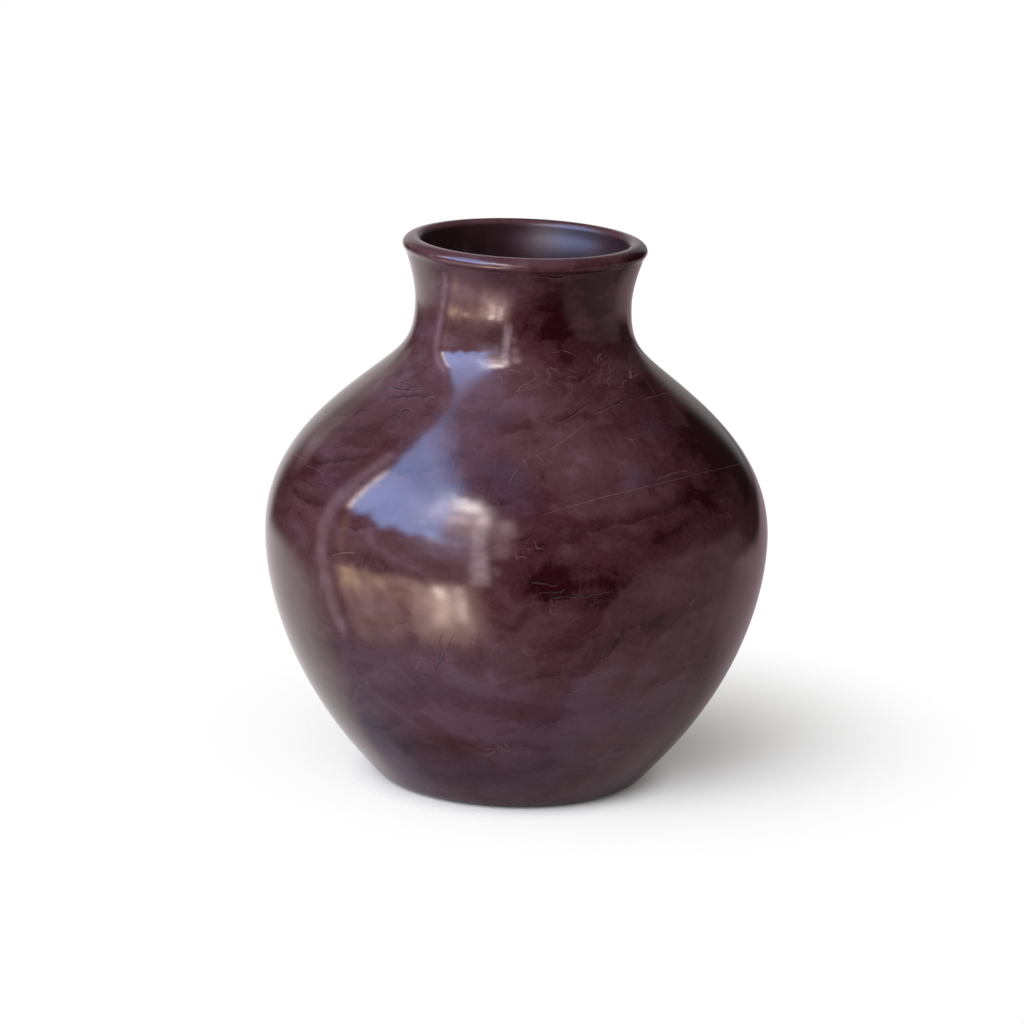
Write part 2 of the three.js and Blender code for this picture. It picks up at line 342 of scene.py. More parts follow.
class StageSettings(bpy.types.PropertyGroup):
    """Camera, floor and lamps."""

    camera_distance: bpy.props.FloatProperty(
        name="Camera Distance", description="From the camera to the point that it looks at",
        default=1.709, subtype="DISTANCE", unit="LENGTH")
    camera_elevation: bpy.props.FloatProperty(
        name="Camera Elevation", description="Angle of the view above level",
        default=math.radians(13.96), subtype="ANGLE", unit="ROTATION")
    camera_roll: bpy.props.FloatProperty(
        name="Camera Roll", description="Turn of the camera about its line of sight",
        default=math.radians(1.72), subtype="ANGLE", unit="ROTATION")
    camera_lens: bpy.props.FloatProperty(
        name="Camera Lens", description="Focal length in millimetres on a 36 mm sensor", default=150.9)
    look_at: bpy.props.FloatVectorProperty(
        name="Look At", description="Point in the middle of the picture",
        default=(-0.002, 0.0, 0.107), subtype="TRANSLATION", unit="LENGTH")
    floor_radius: bpy.props.FloatProperty(
        name="Floor Radius", description="Radius of the round floor",
        default=0.32, subtype="DISTANCE", unit="LENGTH")
    floor_middle: bpy.props.FloatVectorProperty(
        name="Floor Middle", description="Middle of the part of the floor that shows", size=2,
        default=(0.033, 0.051), subtype="XYZ", unit="LENGTH")
    floor_full: bpy.props.FloatProperty(
        name="Floor Full", description="How far from its middle the floor shows in full",
        default=0.0, subtype="DISTANCE", unit="LENGTH")
    floor_fade: bpy.props.FloatProperty(
        name="Floor Fade", description="How far from its middle the floor has run out into white",
        default=0.174, subtype="DISTANCE", unit="LENGTH")
    floor_colour: bpy.props.FloatVectorProperty(
        name="Floor Colour", description="Colour of the floor", default=(0.98, 0.975, 0.975), subtype="COLOR")
    floor_bounce: bpy.props.FloatVectorProperty(
        name="Floor Bounce", description="Colour that the floor throws back on the object",
        default=(0.62, 0.61, 0.62), subtype="COLOR")
    key_strength: bpy.props.FloatProperty(
        name="Key Lamp", description="Brightness of the soft lamp's face", default=7.1)
    key_colour: bpy.props.FloatVectorProperty(
        name="Key Colour", description="Tint of the soft lamp",
        default=(0.96, 1.0, 1.07), subtype="COLOR", max=2)
    key_azimuth: bpy.props.FloatProperty(
        name="Key Azimuth", description="Way round to the soft lamp, from the viewer",
        default=math.radians(-35), subtype="ANGLE", unit="ROTATION")
    key_elevation: bpy.props.FloatProperty(
        name="Key Elevation", description="Height of the soft lamp above level",
        default=math.radians(30), subtype="ANGLE", unit="ROTATION")
    key_distance: bpy.props.FloatProperty(
        name="Key Distance", description="From the object to the soft lamp",
        default=1.7, subtype="DISTANCE", unit="LENGTH")
    key_size: bpy.props.FloatVectorProperty(
        name="Key Size", description="Width and height of the soft lamp", size=2,
        default=(1.3, 1.05), subtype="XYZ", unit="LENGTH")
    fill_strength: bpy.props.FloatProperty(
        name="Fill", description="Brightness of the soft light from all round", default=0.41)
    fill_colour: bpy.props.FloatVectorProperty(
        name="Fill Colour", description="Tint of the light from all round",
        default=(1.0, 0.955, 0.925), subtype="COLOR")


# Section of the wall.

def heading_vector(degrees):
    """Unit vector of a heading in the section's plane: X is the radius and Z the height."""
    angle = math.radians(degrees)
    return Vector((math.sin(angle), 0.0, math.cos(angle)))


def place(station):
    return Vector((station.radius, 0.0, station.height))


def hollow_station(outside, thickness, before=None):
    """An outside station moved into the stone by the wall's thickness, and met on the way down."""
    point = place(outside) + heading_vector(outside.heading - 90) * thickness
    lead = outside.after if before is None else before
    return Station(point.x, point.z, outside.heading - 180, lead, outside.before)


def wall_points(start, end, row):
    """Points of the curve between two stations, without its first one."""
    first, last = place(start), place(end)
    leave = first + heading_vector(start.heading) * start.after
    arrive = last - heading_vector(end.heading) * end.before
    rough = (leave - first).length + (arrive - leave).length + (last - arrive).length
    length = (rough + (last - first).length) / 2
    count = max(FEWEST_POINTS, math.ceil(length / row) + 1)
    return interpolate_bezier(first, leave, arrive, last, count)[1:]


def stone_section():
    """The section as points in millimetres, from the middle of the foot round to the middle of the hollow."""
    flat_end = FOOT.radius - FOOT_EDGE
    edge_handle = FOOT_EDGE * 2 / 3
    wall_start = place(FOOT) + heading_vector(FOOT.heading) * FOOT_EDGE
    lowest = Station(wall_start.x, wall_start.z, FOOT.heading, edge_handle, FOOT.after - FOOT_EDGE)
    edge = Station(flat_end, 0, 90, 0, edge_handle)
    hollow_neck = hollow_station(NECK, NECK_WALL, NECK.before)
    hollow_shoulder = hollow_station(SHOULDER, SHOULDER_WALL)
    hollow_belly = hollow_station(BELLY, BELLY_WALL)

    flat_rows = math.ceil(flat_end / FLAT_ROW)
    points = [Vector((flat_end * i / flat_rows, 0.0, 0.0)) for i in range(flat_rows + 1)]
    runs = (
        ([edge, lowest], LIP_ROW),
        ([lowest, BELLY, SHOULDER, NECK, ARRIS], OUTSIDE_ROW),
        ([ARRIS, LIP_SIDE, LIP_CROWN, MOUTH], LIP_ROW),
        ([MOUTH, hollow_neck, hollow_shoulder, hollow_belly, HOLLOW_HEEL, HOLLOW_FLOOR], HOLLOW_ROW),
    )
    for stations, row in runs:
        for start, end in zip(stations, stations[1:]):
            points += wall_points(start, end, row)
    points[-1].x = 0.0
    return points


def section_runs(points):
    """Length along the section up to each point."""
    steps = [(b - a).length for a, b in zip(points, points[1:])]
    return [0.0] + list(np.cumsum(steps))


# Stone body.

def smooth_step(value, low, high):
    share = min(1.0, max(0.0, (value - low) / (high - low)))
    return share * share * (3 - 2 * share)


def turn_section(points, steps):
    """Spins the section into a closed body. Each vertex keeps its length along the section in a layer."""
    bm = bmesh.new()
    run_layer = bm.verts.layers.float.new("run")
    verts = []
    for point, run in zip(points, section_runs(points)):
        vert = bm.verts.new(point * MM + Vector((0, 0, STONE_LOW.z)))
        vert[run_layer] = run
        verts.append(vert)
    edges = [bm.edges.new(pair) for pair in zip(verts, verts[1:])]
    bmesh.ops.spin(bm, geom=verts + edges, cent=(0, 0, 0), axis=(0, 0, 1), angle=math.tau, steps=steps,
                   use_merge=True, use_duplicate=False)
    bmesh.ops.remove_doubles(bm, verts=bm.verts, dist=MERGE_DISTANCE)
    bmesh.ops.recalc_face_normals(bm, faces=bm.faces)
    return bm


def finish_by_hand(bm, sizes):
    """Leaves the wall a little uneven and tips the mouth, as the hand finish did."""
    bm.normal_update()
    waist = STONE_LOW.z + NECK.height * MM
    lip = STONE_LOW.z + LIP_SIDE.height * MM
    uneven = STONE_LOW.z + UNEVEN_FROM * MM
    for vert in bm.verts:
        wave = noise.noise(vert.co / sizes.unevenness_span)
        vert.co += vert.normal * wave * sizes.unevenness * smooth_step(vert.co.z, STONE_LOW.z, uneven)
        vert.co.z -= math.tan(MOUTH_DIP) * vert.co.x * smooth_step(vert.co.z, waist, lip)


Chart = namedtuple("Chart", "angle radius height run")


def mesh_chart(mesh):
    """Where every vertex lies: radians round from the front, and millimetres from the axis, above the foot
    and along the section."""
    coords = np.empty(len(mesh.vertices) * 3)
    mesh.vertices.foreach_get("co", coords)
    x, y, z = coords.reshape(-1, 3).T
    run = np.empty(len(mesh.vertices))
    mesh.attributes["run"].data.foreach_get("value", run)
    return Chart(np.arctan2(x, -y), np.hypot(x, y) / MM, (z - STONE_LOW.z) / MM, run)


def turned_from(angle, middle):
    """Radians from a middle angle, at most half a turn either way."""
    return (angle - middle + math.pi) % math.tau - math.pi


def outside_wall(section):
    """Heights, radii and lengths along the section of its points from the foot up to the lip's crown."""
    heights = np.array([p.z for p in section])
    wall = slice(int(np.flatnonzero(heights > 0)[0]), int(heights.argmax()) + 1)
    radii = np.array([p.x for p in section])
    return heights[wall], radii[wall], np.array(section_runs(section))[wall]


def smooth_line(points, step):
    """Points a step apart on a curve through the given points of a plane."""
    tangents = np.gradient(points, axis=0)
    out = []
    for i in range(len(points) - 1):
        count = max(FEWEST_MARK_STEPS, math.ceil(np.linalg.norm(points[i + 1] - points[i]) / step))
        t = np.linspace(0, 1, count, endpoint=False)[:, None]
        out.append((2 * t**3 - 3 * t**2 + 1) * points[i] + (t**3 - 2 * t**2 + t) * tangents[i]
                   + (3 * t**2 - 2 * t**3) * points[i + 1] + (t**3 - t**2) * tangents[i + 1])
    return np.concatenate(out + [points[-1:]])


def place_by_line(spots, line):
    """Where spots of a plane lie by a line: signed distance across it, share of its length along it, and
    distance from its nearest point."""
    lengths = np.concatenate([[0.0], np.cumsum(np.linalg.norm(np.diff(line, axis=0), axis=1))])
    tangents = np.gradient(line, axis=0)
    tangents /= np.linalg.norm(tangents, axis=1)[:, None]
    offsets = spots[:, None, :] - line[None]
    pick = (offsets**2).sum(2).argmin(1)
    offset = offsets[np.arange(len(spots)), pick]
    tangent = tangents[pick]
    across = tangent[:, 0] * offset[:, 1] - tangent[:, 1] * offset[:, 0]
    along = (lengths[pick] + (offset * tangent).sum(1)) / lengths[-1]
    return across, along, np.linalg.norm(offset, axis=1)


def draw_marks(mesh, name, marks, section, reach):
    """Stores at every vertex where it lies by the nearest mark: millimetres across it, share along it and the
    mark's half width."""
    chart = mesh_chart(mesh)
    heights, radii, runs = outside_wall(section)
    stored = np.tile((reach, -1.0, 0.0), (len(chart.run), 1))
    nearest = np.full(len(chart.run), reach)
    for mark in marks:
        degrees, height = np.array(mark.points, float).T
        around = np.radians(degrees)
        middle = (around[0] + around[-1]) / 2
        round_wall = (around - middle) * np.interp(height, heights, radii)
        line = smooth_line(np.stack([round_wall, np.interp(height, heights, runs)], 1), MARK_STEP)
        spots = np.stack([turned_from(chart.angle, middle) * chart.radius, chart.run], 1)
        close = np.flatnonzero(((spots > line.min(0) - reach) & (spots < line.max(0) + reach)).all(1))
        if not len(close):
            raise RuntimeError(f"a mark on sheet {name} lies off the stone")
        across, along, distance = place_by_line(spots[close], line)
        won = distance < nearest[close]
        kept = close[won]
        nearest[kept] = distance[won]
        stored[kept] = np.stack([across, along, np.full(len(close), mark.half_width)], 1)[won]
    layer = mesh.attributes.new(name, "FLOAT_VECTOR", "POINT")
    layer.data.foreach_set("vector", stored.astype(np.float32).ravel())


def store_values(mesh, name, values):
    layer = mesh.attributes.new(name, "FLOAT", "POINT")
    layer.data.foreach_set("value", values.astype(np.float32))


def paint_patches(mesh, name, patches):
    """Stores the sum of a list of soft patches at every vertex."""
    chart = mesh_chart(mesh)
    total = np.zeros(len(chart.run))
    for patch in patches:
        across = turned_from(chart.angle, math.radians(patch.angle)) / math.radians(patch.half_angle)
        up = (chart.height - patch.height) / patch.half_height
        total += patch.amount * np.exp(-across**2 - up**2)
    store_values(mesh, name, total)


def paint_inside(mesh, section):
    """Stores how far inside each vertex counts as."""
    crown = outside_wall(section)[2][-1]
    store_values(mesh, "inside", np.interp(mesh_chart(mesh).run - crown, LIP_PLACES, LIP_SHARES))


# Nodes.

class Graph:
    """A node tree that is built by calls, each of which returns the socket that it makes."""

    def __init__(self, tree):
        self.tree = tree

    def node(self, kind, inputs=None, **settings):
        made = self.tree.nodes.new(kind)
        for key, value in settings.items():
            setattr(made, key, value)
        for key, value in (inputs or {}).items():
            self.feed(made.inputs[key], value)
        return made

    def feed(self, socket, value):
        if isinstance(value, bpy.types.NodeSocket):
            self.tree.links.new(value, socket)
        elif hasattr(value, "__len__") and len(value) == 3 and socket.type == "RGBA":
            socket.default_value = (*value, 1.0)
        else:
            socket.default_value = value

    def math(self, operation, first, second=0.0):
        return self.node("ShaderNodeMath", {0: first, 1: second}, operation=operation).outputs[0]

    def fold(self, operation, values):
        """Joins two or more values by one operation, from left to right."""
        return reduce(lambda first, second: self.math(operation, first, second), values)

    def plus(self, *values):
        return self.fold("ADD", values)

    def minus(self, first, second):
        return self.math("SUBTRACT", first, second)

    def times(self, *values):
        return self.fold("MULTIPLY", values)

    def most(self, *values):
        return self.fold("MAXIMUM", values)

    def weighed(self, *pairs):
        """A list of values, each times its share."""
        return [self.times(value, share) for value, share in pairs]

    def vector_math(self, operation, first, second=(0, 0, 0), output=0):
        made = self.node("ShaderNodeVectorMath", {0: first, 1: second}, operation=operation)
        return made.outputs[output]

    def off_middle(self, colour):
        """A random colour as a vector with its parts between -0.5 and 0.5."""
        return self.vector_math("SUBTRACT", colour, (0.5, 0.5, 0.5))

    def scaled(self, vector, factor):
        return self.node("ShaderNodeVectorMath", {0: vector, "Scale": factor}, operation="SCALE").outputs[0]

    def split(self, vector):
        return self.node("ShaderNodeSeparateXYZ", {0: vector}).outputs

    def ease(self, value, low, high, start=0.0, end=1.0):
        """Smooth step of a value from start at low to end at high."""
        limits = {"Value": value, "From Min": low, "From Max": high, "To Min": start, "To Max": end}
        return self.node("ShaderNodeMapRange", limits, interpolation_type="SMOOTHSTEP").outputs[0]

    def noise(self, vector, scale, detail=2.0, roughness=0.5, distortion=0.0, output="Fac"):
        inputs = {"Vector": vector, "Scale": scale, "Detail": detail, "Roughness": roughness,
                  "Distortion": distortion}
        return self.node("ShaderNodeTexNoise", inputs).outputs[output]

    def mix(self, share, first, second):
        return self.node("ShaderNodeMix", {0: share, 6: first, 7: second}, data_type="RGBA").outputs[2]

    def attribute(self, name, output="Vector"):
        return self.node("ShaderNodeAttribute", attribute_name=name).outputs[output]

    def ramp(self, value, stops):
        """Colour ramp through (place, colour) stops."""
        made = self.node("ShaderNodeValToRGB", {0: value})
        made.color_ramp.interpolation = "EASE"
        elements = made.color_ramp.elements
        while len(elements) < len(stops):
            elements.new(1.0)
        for element, (place_on_ramp, colour) in zip(elements, stops):
            element.position = place_on_ramp
            element.color = (*colour, 1.0)
        return made.outputs[0]

    def group(self, tree, inputs):
        return self.node("ShaderNodeGroup", inputs, node_tree=tree).outputs

    def turned(self, vector, rotation, scale):
        made = self.node("ShaderNodeMapping", {"Vector": vector, "Rotation": rotation, "Scale": scale})
        return made.outputs[0]

    def bump(self, height, distance, strength=1.0):
        made = self.node("ShaderNodeBump", {"Strength": strength, "Distance": distance, "Height": height})
        return made.outputs[0]


def new_group(name, vectors, values, outputs):
    """A shader node group with vector inputs, value inputs by their defaults and value outputs. Returns its
    tree, its graph, and the sockets inside it that give the inputs and take the outputs."""
    tree = bpy.data.node_groups.new(name, "ShaderNodeTree")
    for label in vectors:
        tree.interface.new_socket(label, in_out="INPUT", socket_type="NodeSocketVector")
    for label, default in values.items():
        socket = tree.interface.new_socket(label, in_out="INPUT", socket_type="NodeSocketFloat")
        socket.default_value = default
    for label in outputs:
        tree.interface.new_socket(label, in_out="OUTPUT", socket_type="NodeSocketFloat")
    graph = Graph(tree)
    return tree, graph, graph.node("NodeGroupInput").outputs, graph.node("NodeGroupOutput").inputs


def new_material(name):
    """A material without nodes, its graph and the object's own coordinates in it."""
    material = bpy.data.materials.new(name)
    material.use_nodes = True
    material.node_tree.nodes.clear()
    graph = Graph(material.node_tree)
    return material, graph, graph.node("ShaderNodeTexCoord").outputs["Object"]


def finish_material(graph, shader):
    output = graph.node("ShaderNodeOutputMaterial")
    graph.tree.links.new(shader, output.inputs["Surface"])


def crack_group():
    """A drawn line that wanders, thins and breaks off, with a pale lip on its lower side."""
    tree, graph, given, result = new_group(
        "Crack", ["Line", "Position"], {"Wander": 0.4, "Broken": 0.5}, ["Core", "Lip"])
    across, along, half_width = graph.split(given["Line"])
    sway = graph.minus(graph.noise(given["Position"], 240.0, 3.0, 0.6), 0.5)
    across = graph.plus(across, graph.times(sway, 2.0, given["Wander"]))
    ends = graph.times(graph.ease(along, 0.0, 0.12), graph.ease(along, 1.0, 0.84))
    flicker = graph.ease(graph.noise(given["Position"], 130.0, 3.0, 0.6), 0.36, 0.6)
    gaps = graph.times(graph.minus(1.0, flicker), given["Broken"])
    width = graph.times(half_width, ends, graph.minus(1.0, gaps))
    shown = graph.ease(width, 0.02, 0.1)
    away = graph.math("ABSOLUTE", across)
    core = graph.ease(away, graph.times(width, 0.35), graph.times(width, 1.2), 1.0, 0.0)
    away = graph.math("ABSOLUTE", graph.plus(across, graph.times(width, 1.6)))
    lip = graph.ease(away, graph.times(width, 0.3), graph.times(width, 1.1), 1.0, 0.0)
    graph.feed(result["Core"], graph.times(core, shown))
    graph.feed(result["Lip"], graph.times(lip, shown))
    return tree


def band_group():
    """A dark band above a drawn line: torn and sharp along the line, and fading away from it."""
    tree, graph, given, result = new_group("Torn Band", ["Line", "Position"], {}, ["Mask"])
    across, along, half_width = graph.split(given["Line"])
    tear = graph.minus(graph.noise(given["Position"], 80.0, 5.0, 0.6, 0.5), 0.5)
    across = graph.plus(across, graph.times(tear, 9.0))
    ends = graph.times(graph.ease(along, -0.02, 0.3), graph.ease(along, 1.02, 0.7))
    edge = graph.ease(across, -0.5, 0.6)
    fade = graph.ease(across, graph.times(half_width, 2.2), graph.times(half_width, 0.1))
    cover = graph.ease(graph.noise(given["Position"], 45.0, 4.0, 0.6), 0.3, 0.56, 0.25, 1.0)
    graph.feed(result["Mask"], graph.times(edge, fade, ends, cover))
    return tree


def scuff_group():
    """Fine curled strokes, one arc to a cell in cells of a few sizes, shown only in patches."""
    tree, graph, given, result = new_group("Scuffs", ["Position"], {"Painted": 0.0}, ["Mask"])
    sway = graph.off_middle(graph.noise(given["Position"], 90.0, 2.0, output="Color"))
    bent = graph.vector_math("ADD", given["Position"], graph.scaled(sway, 0.013))
    strokes = []
    for scale in SCUFF_CELLS:
        spread = graph.scaled(bent, scale)
        cells = graph.node("ShaderNodeTexVoronoi", {"Vector": spread, "Scale": 1.0}).outputs
        draw = graph.off_middle(cells["Color"])
        centre = graph.vector_math("ADD", cells["Position"], graph.scaled(draw, 2.0))
        radius = graph.plus(graph.vector_math("LENGTH", draw, output="Value"), 0.35)
        away = graph.vector_math("DISTANCE", spread, centre, output="Value")
        away = graph.math("ABSOLUTE", graph.minus(away, radius))
        fresh = graph.ease(away, SCUFF_WIDTH * scale, 0.0)
        strokes.append(graph.times(fresh, graph.ease(cells["Distance"], 0.8, 0.35)))
    cover = graph.plus(graph.noise(given["Position"], 45.0, 4.0, 0.6), given["Painted"])
    graph.feed(result["Mask"], graph.times(graph.most(*strokes), graph.ease(cover, 0.58, 0.8)))
    return tree


def fleck_group():
    """Small round flecks, a few in each patch of cells, of uneven size."""
    tree, graph, given, result = new_group(
        "Flecks", ["Position"], {"Scale": 160.0, "Size": 0.06, "Share": 0.2}, ["Mask"])
    cells = graph.node("ShaderNodeTexVoronoi", {"Vector": given["Position"], "Scale": given["Scale"]}).outputs
    draw = graph.node("ShaderNodeSeparateColor", {0: cells["Color"]}).outputs
    size = graph.times(given["Size"], graph.plus(draw[1], 0.3))
    round_spot = graph.ease(cells["Distance"], graph.times(size, 0.5), size, 1.0, 0.0)
    chosen = graph.math("LESS_THAN", draw[0], given["Share"])
    graph.feed(result["Mask"], graph.times(round_spot, chosen))
    return tree


def pane_group():
    """A rectangle of light in the surroundings, in degrees, with soft and ragged edges."""
    tree, graph, given, result = new_group(
        "Light Pane", ["Direction"],
        {"Round": 0.0, "Level": 0.0, "Round From": -90.0, "Round To": -30.0, "Low": 20.0, "High": 60.0,
         "Soft": 1.0, "Ragged": 0.0, "Cloudy": 1.0},
        ["Mask"])
    tear = graph.noise(given["Direction"], 15.0, 4.0, 0.62, output="Color")
    shift = graph.split(graph.scaled(graph.off_middle(tear), given["Ragged"]))
    turn = graph.plus(given["Round"], shift[0])
    level = graph.plus(given["Level"], shift[1])
    steps = []
    for value, edge, side in (
        (turn, "Round From", 1.0), (turn, "Round To", -1.0), (level, "Low", 1.0), (level, "High", -1.0),
    ):
        reach = graph.times(given["Soft"], side)
        steps.append(graph.ease(value, graph.minus(given[edge], reach), graph.plus(given[edge], reach)))
    clouds = graph.ease(graph.noise(given["Direction"], 11.0, 5.0, 0.6), 0.34, 0.66, -0.4, 0.3)
    cloudy = graph.plus(graph.times(clouds, given["Cloudy"]), 1.0)
    graph.feed(result["Mask"], graph.times(*steps, cloudy))
    return tree


def stone_material(finish):
    """Polished purple-brown stone: bedded clouds, torn dark bands, veins, open cracks, flecks, wear, a
    painted sheen on the lip and painted shade in the hollow.
    """
    material, graph, position = new_material("Polished Stone")
    crack, band, scuff, fleck = crack_group(), band_group(), scuff_group(), fleck_group()
    # Near-black, used as painted shade in the hollow and for the dark cores of fractures and pits.
    hollow = tuple(0.25 * c for c in finish.deep)
    # A pale mauve for the painted sheen on the lip.
    lip_sheen_colour = tuple(1.35 * c for c in finish.mauve)

    def drawn(sheet, wander, broken):
        inputs = {"Line": graph.attribute(sheet), "Position": position, "Wander": wander, "Broken": broken}
        return graph.group(crack, inputs)

    def flecks(spot, scale, size, share):
        return graph.group(fleck, {"Position": spot, "Scale": scale, "Size": size, "Share": share})["Mask"]

    # Bedding rises to the right and towards the viewer.
    turn = tuple(BEDDING.rotation_difference(Vector((0, 0, 1))).to_euler())
    warp = graph.off_middle(graph.noise(position, 22.0, 3.0, 0.55, output="Color"))
    folded = graph.vector_math("ADD", position, graph.scaled(warp, 0.03))
    broad = graph.noise(graph.turned(folded, turn, (8, 8, 26)), 1.0, 5.0, 0.58, 0.4)
    lenses = graph.noise(graph.turned(folded, turn, (26, 26, 84)), 1.0, 6.0, 0.6, 0.5)
    clouds = graph.noise(folded, 15.0, 4.0, 0.6)
    mottle = graph.noise(folded, 75.0, 5.0, 0.62, 0.4)
    grain = graph.noise(position, 700.0, 2.0, 0.6)

    # Each bed is dark along its sharp lower edge, in patches, and pales upwards.
    depth = graph.vector_math("DOT_PRODUCT", position, tuple(BEDDING), output="Value")
    fold = graph.times(graph.noise(position, 17.0, 5.0, 0.56), 3.6)
    rise = graph.math("FRACT", graph.plus(graph.math("DIVIDE", depth, BED_HEIGHT), fold))
    bed_cover = graph.ease(graph.noise(folded, 27.0, 3.0, 0.5), 0.47, 0.66)
    beds = graph.times(graph.ease(rise, 0.8, 0.0), bed_cover)
    seams = graph.times(graph.ease(rise, 0.05, 0.0), graph.ease(clouds, 0.5, 0.6))

    # Colour of the sound stone, from the darkest tone to the palest, with violet clouds over it.
    tone = graph.plus(*graph.weighed((broad, 0.46), (lenses, 0.56)), graph.attribute("tone", "Fac"))
    tone = graph.plus(tone, graph.times(graph.minus(mottle, 0.5), 0.48))
    tone = graph.minus(tone, graph.times(beds, 0.13))
    stops = [(0.24, finish.deep), (0.40, finish.wine), (0.53, finish.brown), (0.69, finish.mauve)]
    colour = graph.ramp(tone, stops)
    haze = graph.plus(graph.ease(clouds, 0.46, 0.72, 0.0, 0.35), graph.attribute("violet", "Fac"))
    haze = graph.times(haze, graph.ease(mottle, 0.25, 0.6, 0.35, 1.0))
    # The darkest places take less violet and fewer pale grains.
    pallor = graph.ease(tone, 0.2, 0.42, 0.25, 1.0)
    haze = graph.times(graph.ease(haze, 0.0, 1.0, 0.0, 0.8), pallor)
    colour = graph.mix(haze, colour, finish.violet)

    # Torn dark bands, seams between beds, pale grains and long smears.
    bands = graph.group(band, {"Line": graph.attribute("dark_bands"), "Position": position})["Mask"]
    colour = graph.mix(graph.times(bands, 0.7), colour, finish.deep)
    colour = graph.mix(graph.times(seams, 0.3), colour, finish.deep)
    grains = graph.times(graph.ease(grain, 0.3, 0.75, 0.0, 0.19), pallor)
    colour = graph.mix(grains, colour, finish.mauve)
    colour = graph.mix(graph.times(drawn("smears", 2.6, 0.4)["Core"], 0.04), colour, finish.vein)

    # The lip is painted pale as a sheen, most at the front and on the left, where the light falls on it.
    inside = graph.attribute("inside", "Fac")
    spot = graph.split(position)
    wear_and_sheen = graph.times(
        graph.ease(inside, 0.33, 0.42),
        graph.ease(spot[1], 0.03, -0.02, 0.12, 0.6),
        graph.ease(spot[0], 0.045, -0.015, 0.1, 1.0),
        graph.ease(spot[0], 0.0, -0.04, 1.0, 1.35),
        graph.ease(mottle, 0.3, 0.6, 0.6, 1.1))
    colour = graph.mix(wear_and_sheen, colour, lip_sheen_colour)
    # The hollow is painted darker as shade, most in its upper part.
    unlit = graph.times(graph.ease(inside, 0.5, 1.0), graph.ease(spot[2], 0.13, 0.18, 0.2, 0.8))
    colour = graph.mix(unlit, colour, hollow)

    # Pale veins, lips of fractures, scuffs and specks, then dark fractures and pits.
    veins = graph.most(*(drawn(sheet, 0.35, 0.7)["Core"] for sheet in ("healed_veins", "branch_veins")))
    fractures = [drawn(sheet, 0.7, 0.6) for sheet in ("open_fractures", "branch_fractures")]
    cores = graph.most(*(lines["Core"] for lines in fractures))
    lips = graph.most(*(lines["Lip"] for lines in fractures))
    scuffs = graph.group(scuff, {"Position": position, "Painted": graph.attribute("scuffs", "Fac")})["Mask"]
    specks = flecks(position, 170.0, 0.07, 0.05)
    pits = flecks(folded, 120.0, 0.08, 0.06)
    pale = graph.most(*graph.weighed((veins, 0.27), (lips, 0.13), (scuffs, 0.42), (specks, 0.6)))
    colour = graph.mix(pale, colour, finish.vein)
    dark = graph.most(*graph.weighed((cores, 0.8), (pits, 0.7)))
    colour = graph.mix(dark, colour, hollow)

    # The polish is duller in clouds, on marks and inside.
    dull = graph.ease(graph.noise(position, 34.0, 5.0, 0.65), 0.42, 0.78)
    dull = graph.most(graph.times(dull, 0.4), pale, dark)
    rough = graph.ease(dull, 0.0, 1.0, finish.polish, finish.wear)
    rough = graph.plus(rough, graph.times(inside, 0.29))

    height = graph.plus(*graph.weighed(
        (cores, -1.0), (pits, -0.6), (scuffs, -0.05), (veins, -0.12), (grain, 0.004)))
    shader = graph.node("ShaderNodeBsdfPrincipled", {
        "Base Color": colour, "Roughness": rough, "IOR": 1.5, "Normal": graph.bump(height, STONE_BUMP)})
    finish_material(graph, shader.outputs[0])
    return material


def felt_material(finish):
    """Pressed wool felt: tangled fibres of slightly different shades."""
    material, graph, position = new_material("Pressed Felt")
    tangle = graph.noise(position, 900.0, 5.0, 0.7, 1.6)
    wisps = graph.noise(position, 2600.0, 3.0, 0.6, 2.0)
    wear_and_sheen = graph.noise(position, 60.0, 3.0, 0.5)
    light = tuple(3.2 * c for c in finish.felt)
    colour = graph.mix(graph.ease(tangle, 0.35, 0.7), finish.felt, light)
    colour = graph.mix(graph.ease(wear_and_sheen, 0.5, 0.8, 0.0, 0.5), colour, light)
    height = graph.plus(tangle, graph.times(wisps, 0.4))
    shader = graph.node("ShaderNodeBsdfPrincipled", {
        "Base Color": colour, "Roughness": 0.95, "Sheen Weight": 0.3,
        "Normal": graph.bump(height, FELT_BUMP, 0.8)})
    finish_material(graph, shader.outputs[0])
    return material


def floor_material(stage, sizes):
    """Pale floor that keeps the shadow near the object, runs out into white and is clear from below."""
    material, graph, position = new_material("Pale Floor")
    ray = graph.node("ShaderNodeLightPath").outputs
    seen = graph.most(ray["Is Camera Ray"], ray["Is Glossy Ray"], ray["Is Transmission Ray"])
    away = graph.vector_math("DISTANCE", position, (*stage.floor_middle, 0.0), output="Value")
    contact = graph.vector_math("LENGTH", position, output="Value")
    fade = graph.times(
        graph.ease(away, stage.floor_full, stage.floor_fade),
        graph.ease(contact, sizes.felt_radius, CONTACT_REACH * sizes.felt_radius))
    colour = graph.mix(ray["Is Camera Ray"], stage.floor_bounce, stage.floor_colour)
    plain = graph.node("ShaderNodeBsdfDiffuse", {"Color": colour}).outputs[0]
    clear = graph.node("ShaderNodeBsdfTransparent").outputs[0]
    under = graph.node("ShaderNodeNewGeometry").outputs["Backfacing"]
    gone = graph.most(graph.times(fade, seen), under)
    finish_material(graph, graph.node("ShaderNodeMixShader", {0: gone, 1: plain, 2: clear}).outputs[0])
    return material


# Surroundings, as reflections show them.

Around = namedtuple("Around", "direction x turn level leaned")


